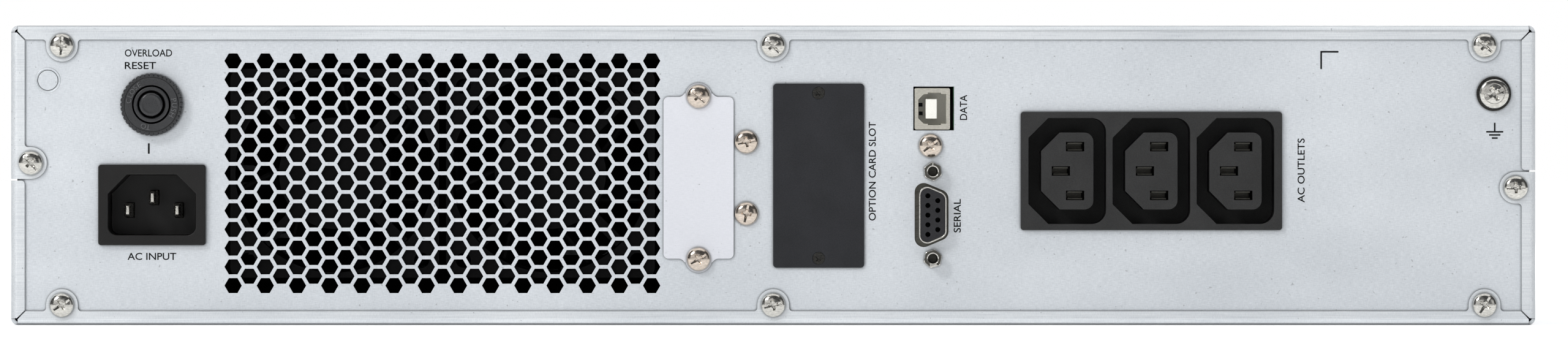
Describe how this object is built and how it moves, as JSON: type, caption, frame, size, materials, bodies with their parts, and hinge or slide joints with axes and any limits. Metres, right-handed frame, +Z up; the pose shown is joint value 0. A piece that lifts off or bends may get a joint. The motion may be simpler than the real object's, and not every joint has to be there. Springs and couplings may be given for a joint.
{
  "type": "rackmount uninterruptible power supply",
  "caption": "Flat rackmount power backup unit: zinc-coated sheet steel case, connector panel with honeycomb vent at the rear, dark bezel with display and battery drawer at the front.",
  "frame": {"origin": "centre of the case's outline on the plane its flat base stands on", "axes": "+X across the case, towards the viewer's right when looking at the connector panel; +Y from the connector panel towards the front bezel; +Z up, square to the base"},
  "size_m": [0.438, 0.442, 0.086],
  "materials": {
    "galvanised_steel": "zinc-coated sheet, matt with a fine linen grain",
    "nickel_plate": "satin nickel-plated steel",
    "black_plastic": "fine-textured black",
    "dark_plastic": "fine-textured dark grey",
    "grey_plastic": "satin mid grey",
    "white_plastic": "satin white",
    "window": "smoked clear",
    "light_pipe": "clear diffusing",
    "black_paint": "fine-textured black powder coat",
    "circuit_board": "green solder mask",
    "tin_plate": "tin-plated copper alloy",
    "anodised_aluminium": "bare extrusion",
    "capacitor_sleeve": "dark blue shrink sleeve",
    "copper_wire": "enamelled copper winding",
    "transformer_steel": "varnished laminations",
    "relay_plastic": "moulded blue case",
    "lead_insulation": "coloured PVC insulation",
    "filter_foam": "open-cell polyurethane foam",
    "battery_case": "black ABS block"
  },
  "bodies": {
    "chassis": {"upper_shell": "galvanised_steel", "lower_shell": "galvanised_steel", "seam_strips": "galvanised_steel", "rear_panel": "galvanised_steel", "shell_screws": "nickel_plate", "panel_screws": "nickel_plate", "clinch_stud": "galvanised_steel", "front_frame": "galvanised_steel", "frame_screws": "nickel_plate", "clinch_nuts": "galvanised_steel", "front_bezel": "dark_plastic", "air_filter": "filter_foam", "display_window": "window", "display_board": "circuit_board", "status_lights": "light_pipe", "inlet_housing": "black_plastic", "inlet_pins": "nickel_plate", "breaker_body": "black_plastic", "breaker_collar": "dark_plastic", "breaker_terminals": "tin_plate", "outlet_block": "dark_plastic", "outlet_contacts": "tin_plate", "slot_cover": "black_paint", "slot_cover_screws": "nickel_plate", "card_cage": "galvanised_steel", "connector_cover": "galvanised_steel", "usb_shell": "nickel_plate", "usb_core": "white_plastic", "serial_shell": "nickel_plate", "serial_core": "dark_plastic", "jackscrews": "nickel_plate", "comm_board": "circuit_board", "earth_screw": "nickel_plate", "fan_frame_left": "black_plastic", "fan_frame_right": "black_plastic", "fan_bracket": "black_paint", "main_board": "circuit_board", "board_standoffs": "tin_plate", "heatsinks": "anodised_aluminium", "bulk_capacitors": "capacitor_sleeve", "inductors": "copper_wire", "transformer": "transformer_steel", "relays": "relay_plastic", "input_leads": "lead_insulation", "output_leads": "lead_insulation", "bay_wall": "galvanised_steel", "tray_guides": "white_plastic"},
    "battery_drawer": {"drawer_fascia": "dark_plastic", "battery_tray": "galvanised_steel", "batteries": "battery_case", "battery_leads": "lead_insulation"},
    "thumbscrew_left": {"thumbscrew_left": "nickel_plate"},
    "thumbscrew_right": {"thumbscrew_right": "nickel_plate"},
    "breaker_button": {"breaker_button": "dark_plastic"},
    "power_button": {"power_button": "grey_plastic"},
    "mute_button": {"mute_button": "grey_plastic"},
    "select_button": {"select_button": "grey_plastic"},
    "enter_button": {"enter_button": "grey_plastic"},
    "fan_rotor_left": {"fan_rotor_left": "black_plastic"},
    "fan_rotor_right": {"fan_rotor_right": "black_plastic"}
  },
  "joints": [
    {"name": "battery_drawer_slide", "type": "slide", "parent": "chassis", "child": "battery_drawer", "axis": [0, 1, 0], "range_m": [0, 0.3]},
    {"name": "thumbscrew_left_turn", "type": "hinge", "parent": "battery_drawer", "child": "thumbscrew_left", "pos_m": [0.0375, 0.2, 0.043], "axis": [0, 1, 0], "continuous": true},
    {"name": "thumbscrew_right_turn", "type": "hinge", "parent": "battery_drawer", "child": "thumbscrew_right", "pos_m": [0.2105, 0.2, 0.043], "axis": [0, 1, 0], "continuous": true},
    {"name": "breaker_reset", "type": "slide", "parent": "chassis", "child": "breaker_button", "axis": [0, -1, 0], "range_m": [0, 0.004]},
    {"name": "power_press", "type": "slide", "parent": "chassis", "child": "power_button", "axis": [0, -1, 0], "range_m": [0, 0.0008], "stiffness_N_per_m": 300},
    {"name": "mute_press", "type": "slide", "parent": "chassis", "child": "mute_button", "axis": [0, -1, 0], "range_m": [0, 0.0008], "stiffness_N_per_m": 300},
    {"name": "select_press", "type": "slide", "parent": "chassis", "child": "select_button", "axis": [0, -1, 0], "range_m": [0, 0.0008], "stiffness_N_per_m": 300},
    {"name": "enter_press", "type": "slide", "parent": "chassis", "child": "enter_button", "axis": [0, -1, 0], "range_m": [0, 0.0008], "stiffness_N_per_m": 300},
    {"name": "fan_left_spin", "type": "hinge", "parent": "chassis", "child": "fan_rotor_left", "pos_m": [-0.12605, -0.2, 0.0436], "axis": [0, 1, 0], "continuous": true},
    {"name": "fan_right_spin", "type": "hinge", "parent": "chassis", "child": "fan_rotor_right", "pos_m": [-0.06405, -0.2, 0.0436], "axis": [0, 1, 0], "continuous": true}
  ]
}
